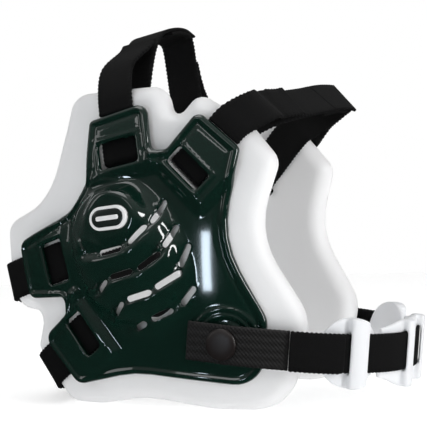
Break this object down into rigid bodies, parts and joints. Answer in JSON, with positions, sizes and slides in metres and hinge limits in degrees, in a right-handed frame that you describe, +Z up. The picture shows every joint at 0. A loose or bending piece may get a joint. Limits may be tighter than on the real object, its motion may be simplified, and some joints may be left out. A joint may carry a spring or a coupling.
{
  "type": "wrestling headgear",
  "caption": "Wrestling headgear: moulded ear guards on foam pads, joined by hook-and-loop straps over the head, with a press-stud chin strap and soft chin cup.",
  "frame": {"origin": "centre of the bounding box in plan, on the plane the two pads stand on", "axes": "+X the way the face looks, -Y the wearer's right, +Z up"},
  "size_m": [0.23, 0.1624, 0.2104],
  "materials": {
    "shell": "high gloss, very dark green",
    "foam": "smooth vinyl-coated foam, white",
    "strap": "black hook-and-loop webbing",
    "webbing": "ribbed black webbing",
    "snap_metal": "plated",
    "snap_cap": "satin, dark brown-black",
    "chin_cup": "soft, translucent white",
    "badge": "white, plain"
  },
  "bodies": {
    "guards": {"right_pad": "foam", "right_shell": "shell", "right_badge": "badge", "right_snap_stud": "snap_metal", "right_snap_washer": "snap_metal", "right_crown_strap": "strap", "right_front_strap": "strap", "right_rear_upper_strap": "strap", "right_rear_lower_strap": "strap", "left_pad": "foam", "left_shell": "shell", "left_badge": "badge", "left_snap_stud": "snap_metal", "left_snap_washer": "snap_metal", "left_crown_strap": "strap", "left_front_strap": "strap", "left_rear_upper_strap": "strap", "left_rear_lower_strap": "strap"},
    "chin_strap": {"chin_band": "strap"},
    "chin_cup": {"chin_cup": "chin_cup"},
    "right_snap_end": {"right_snap_tab": "webbing", "right_snap_socket": "snap_metal", "right_snap_cap": "snap_cap"},
    "left_snap_end": {"left_snap_tab": "webbing", "left_snap_socket": "snap_metal", "left_snap_cap": "snap_cap"},
    "crown_tab": {"crown_tab": "strap"},
    "front_tab": {"front_tab": "strap"},
    "rear_upper_tab": {"rear_upper_tab": "strap"},
    "rear_lower_tab": {"rear_lower_tab": "strap"},
    "right_crown_tail": {"right_crown_tail": "strap"},
    "right_front_tail": {"right_front_tail": "strap"},
    "right_rear_upper_tail": {"right_rear_upper_tail": "strap"},
    "right_rear_lower_tail": {"right_rear_lower_tail": "strap"},
    "left_crown_tail": {"left_crown_tail": "strap"},
    "left_front_tail": {"left_front_tail": "strap"},
    "left_rear_upper_tail": {"left_rear_upper_tail": "strap"},
    "left_rear_lower_tail": {"left_rear_lower_tail": "strap"}
  },
  "joints": [
    {"name": "chin_swing", "type": "hinge", "parent": "guards", "child": "chin_strap", "pos_m": [0.03075, 0, 0.0348], "axis": [0, 1, 0], "range_deg": [-30, 30]},
    {"name": "cup_slide", "type": "hinge", "parent": "chin_strap", "child": "chin_cup", "pos_m": [0.04616, 0, 0.03318], "axis": [0.1045, 0, 0.9945], "range_deg": [-2, 2]},
    {"name": "right_snap_release", "type": "hinge", "parent": "chin_strap", "child": "right_snap_end", "pos_m": [0.06285, -0.06391, 0.03143], "axis": [0.1045, 0, 0.9945], "range_deg": [0, 70]},
    {"name": "left_snap_release", "type": "hinge", "parent": "chin_strap", "child": "left_snap_end", "pos_m": [0.06285, 0.06391, 0.03143], "axis": [-0.1045, 0, -0.9945], "range_deg": [0, 70]},
    {"name": "crown_tab_peel", "type": "hinge", "parent": "guards", "child": "crown_tab", "pos_m": [-0.03118, 0.00491, 0.20549], "axis": [0.98, 0.0766, 0.1836], "range_deg": [0, 70]},
    {"name": "front_tab_peel", "type": "hinge", "parent": "guards", "child": "front_tab", "pos_m": [0.06403, 0.0062, 0.16042], "axis": [0.7341, -0.0342, -0.6782], "range_deg": [0, 70]},
    {"name": "rear_upper_tab_peel", "type": "hinge", "parent": "guards", "child": "rear_upper_tab", "pos_m": [-0.11362, -0.00429, 0.0605], "axis": [-0.0651, 0.0439, 0.9969], "range_deg": [0, 70]},
    {"name": "rear_lower_tab_peel", "type": "hinge", "parent": "guards", "child": "rear_lower_tab", "pos_m": [-0.08334, -0.00409, 0.01195], "axis": [-0.4996, -0.0062, 0.8662], "range_deg": [0, 70]},
    {"name": "right_crown_tail_peel", "type": "hinge", "parent": "guards", "child": "right_crown_tail", "pos_m": [-0.02891, -0.05877, 0.15302], "axis": [0.9809, -0.0578, 0.1859], "range_deg": [0, 60]},
    {"name": "right_front_tail_peel", "type": "hinge", "parent": "guards", "child": "right_front_tail", "pos_m": [0.03134, -0.06111, 0.13887], "axis": [0.7344, -0.0366, -0.6777], "range_deg": [0, 60]},
    {"name": "right_rear_upper_tail_peel", "type": "hinge", "parent": "guards", "child": "right_rear_upper_tail", "pos_m": [-0.08696, -0.05533, 0.06927], "axis": [-0.2644, 0.0706, 0.9618], "range_deg": [0, 60]},
    {"name": "right_rear_lower_tail_peel", "type": "hinge", "parent": "guards", "child": "right_rear_lower_tail", "pos_m": [-0.06686, -0.05775, 0.02478], "axis": [-0.5825, 0.0344, 0.8121], "range_deg": [0, 60]},
    {"name": "left_crown_tail_peel", "type": "hinge", "parent": "guards", "child": "left_crown_tail", "pos_m": [-0.02891, 0.05877, 0.15302], "axis": [-0.9809, -0.0578, -0.1859], "range_deg": [0, 60]},
    {"name": "left_front_tail_peel", "type": "hinge", "parent": "guards", "child": "left_front_tail", "pos_m": [0.03132, 0.06112, 0.13886], "axis": [-0.7246, -0.0395, 0.6881], "range_deg": [0, 60]},
    {"name": "left_rear_upper_tail_peel", "type": "hinge", "parent": "guards", "child": "left_rear_upper_tail", "pos_m": [-0.08696, 0.05533, 0.06927], "axis": [0.2644, 0.0706, -0.9618], "range_deg": [0, 60]},
    {"name": "left_rear_lower_tail_peel", "type": "hinge", "parent": "guards", "child": "left_rear_lower_tail", "pos_m": [-0.06686, 0.05775, 0.02478], "axis": [0.5825, 0.0344, -0.8121], "range_deg": [0, 60]}
  ]
}
